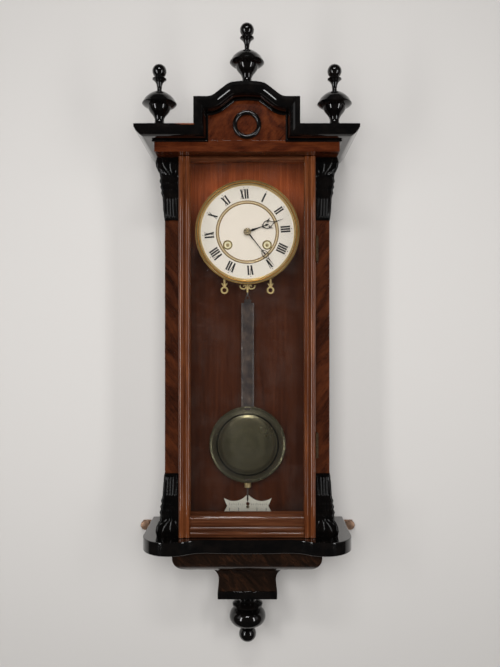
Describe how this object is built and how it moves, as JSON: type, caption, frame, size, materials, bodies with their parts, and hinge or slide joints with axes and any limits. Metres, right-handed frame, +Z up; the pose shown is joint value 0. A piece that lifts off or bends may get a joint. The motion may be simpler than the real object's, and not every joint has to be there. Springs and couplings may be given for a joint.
{
  "type": "pendulum wall clock",
  "caption": "Pendulum wall clock with a glazed door, arched crown with turned finials, carved corbels, round dial and a spring movement.",
  "frame": {"origin": "centre of the hanging hole, in the plane of the wall", "axes": "+Z up, the front faces -Y, +X to the right seen from the front"},
  "size_m": [0.385, 0.185, 1.0312],
  "materials": {
    "walnut": "satin, french polished",
    "back_wood": "satin",
    "ebonised": "gloss, stained black",
    "glass": "clear",
    "brass": "polished",
    "steel": "satin",
    "blued_steel": "blued, gloss",
    "enamel": "gloss enamel"
  },
  "bodies": {
    "case": {"backboard": "back_wood", "case_side_left": "walnut", "case_side_right": "walnut", "side_glasses": "glass", "crown_box": "walnut", "cornice_left": "ebonised", "cornice_right": "ebonised", "pediment_moulding": "ebonised", "tympanum": "walnut", "ring_ornament": "ebonised", "finial_left": "ebonised", "finial_centre": "ebonised", "finial_right": "ebonised", "corbel_upper_right": "ebonised", "corbel_upper_left": "ebonised", "corbel_lower_right": "ebonised", "corbel_lower_left": "ebonised", "shelf": "ebonised", "console": "walnut", "pendant": "ebonised", "case_hinge_leaves": "brass", "bezel": "brass", "dial_ring": "enamel", "dial_centre": "enamel", "dial_trims": "brass", "strike_barrel": "brass", "back_plate": "brass", "front_plate": "brass", "beat_scale": "enamel", "movement_bracket": "steel", "bracket_screws": "steel", "gong": "steel", "hanger_plate": "brass", "steady_brackets": "brass"},
    "door": {"door_stile_left": "walnut", "door_stile_right": "walnut", "door_rail_top": "walnut", "door_rail_bottom": "walnut", "door_glass": "glass", "door_fittings": "brass"},
    "catch": {"door_catch": "brass"},
    "steady_left": {"steady_screw_left": "brass"},
    "steady_right": {"steady_screw_right": "brass"},
    "minute": {"centre_wheel": "brass", "minute_hand": "blued_steel"},
    "hour": {"hour_wheel": "brass", "hour_hand": "blued_steel"},
    "motion": {"minute_wheel": "brass"},
    "intermediate": {"intermediate_wheel": "brass"},
    "barrel": {"time_barrel": "brass"},
    "third": {"third_wheel": "brass"},
    "escape": {"escape_wheel": "brass"},
    "time_winding": {"time_arbor": "steel"},
    "strike_winding": {"strike_arbor": "steel"},
    "pallets": {"anchor": "steel"},
    "pendulum": {"suspension": "steel", "pendulum_rod": "ebonised", "bob": "brass"},
    "nut": {"rating_nut": "brass"},
    "hammer": {"hammer": "steel"}
  },
  "joints": [
    {"name": "minute_turn", "type": "hinge", "parent": "case", "child": "minute", "pos_m": [0, -0.052, -0.1284], "axis": [0, 1, 0], "continuous": true},
    {"name": "hour_turn", "type": "hinge", "parent": "case", "child": "hour", "pos_m": [0, -0.052, -0.1284], "axis": [0, 1, 0], "continuous": true},
    {"name": "motion_turn", "type": "hinge", "parent": "case", "child": "motion", "pos_m": [0, -0.052, -0.1404], "axis": [0, 1, 0], "continuous": true},
    {"name": "intermediate_turn", "type": "hinge", "parent": "case", "child": "intermediate", "pos_m": [0.02399, -0.052, -0.12784], "axis": [0, 1, 0], "continuous": true},
    {"name": "barrel_turn", "type": "hinge", "parent": "case", "child": "barrel", "pos_m": [0.0332, -0.052, -0.15], "axis": [0, 1, 0], "continuous": true},
    {"name": "third_turn", "type": "hinge", "parent": "case", "child": "third", "pos_m": [-0.01136, -0.052, -0.11218], "axis": [0, 1, 0], "continuous": true},
    {"name": "escape_turn", "type": "hinge", "parent": "case", "child": "escape", "pos_m": [0, -0.052, -0.09695], "axis": [0, 1, 0], "continuous": true},
    {"name": "time_winding_turn", "type": "hinge", "parent": "case", "child": "time_winding", "pos_m": [0.0332, -0.052, -0.15], "axis": [0, 1, 0], "continuous": true},
    {"name": "strike_winding_turn", "type": "hinge", "parent": "case", "child": "strike_winding", "pos_m": [-0.0332, -0.052, -0.15], "axis": [0, 1, 0], "continuous": true},
    {"name": "pendulum_swing", "type": "hinge", "parent": "case", "child": "pendulum", "pos_m": [0, -0.043, -0.082], "axis": [0, 1, 0], "range_deg": [-3, 3]},
    {"name": "pallet_rock", "type": "hinge", "parent": "case", "child": "pallets", "pos_m": [0, -0.043, -0.082], "axis": [0, 1, 0], "range_deg": [-3, 3]},
    {"name": "nut_turn", "type": "hinge", "parent": "pendulum", "child": "nut", "pos_m": [0, -0.043, -0.5649], "axis": [0, 0, 1], "continuous": true},
    {"name": "hammer_lift", "type": "hinge", "parent": "case", "child": "hammer", "pos_m": [-0.022, -0.052, -0.1774], "axis": [0, 1, 0], "range_deg": [-10, 0], "stiffness_Nm_per_rad": 0.002},
    {"name": "door_swing", "type": "hinge", "parent": "case", "child": "door", "pos_m": [0.1137, -0.13, -0.322], "axis": [0, 0, 1], "range_deg": [0, 110]},
    {"name": "catch_press", "type": "slide", "parent": "case", "child": "catch", "axis": [0, 1, 0], "range_m": [0, 0.0016], "stiffness_N_per_m": 200},
    {"name": "steady_left_feed", "type": "slide", "parent": "case", "child": "steady_left", "axis": [0, -1, 0], "range_m": [0, 0.004]},
    {"name": "steady_right_feed", "type": "slide", "parent": "case", "child": "steady_right", "axis": [0, -1, 0], "range_m": [0, 0.004]}
  ],
  "couplings": [
    {"joint": "hour_turn", "follows": "minute_turn", "ratio": 0.083333},
    {"joint": "motion_turn", "follows": "minute_turn", "ratio": -0.33333},
    {"joint": "intermediate_turn", "follows": "minute_turn", "ratio": -0.2},
    {"joint": "barrel_turn", "follows": "minute_turn", "ratio": 0.030769},
    {"joint": "third_turn", "follows": "minute_turn", "ratio": -8},
    {"joint": "escape_turn", "follows": "minute_turn", "ratio": 93.333},
    {"joint": "pallet_rock", "follows": "pendulum_swing", "ratio": 1}
  ]
}
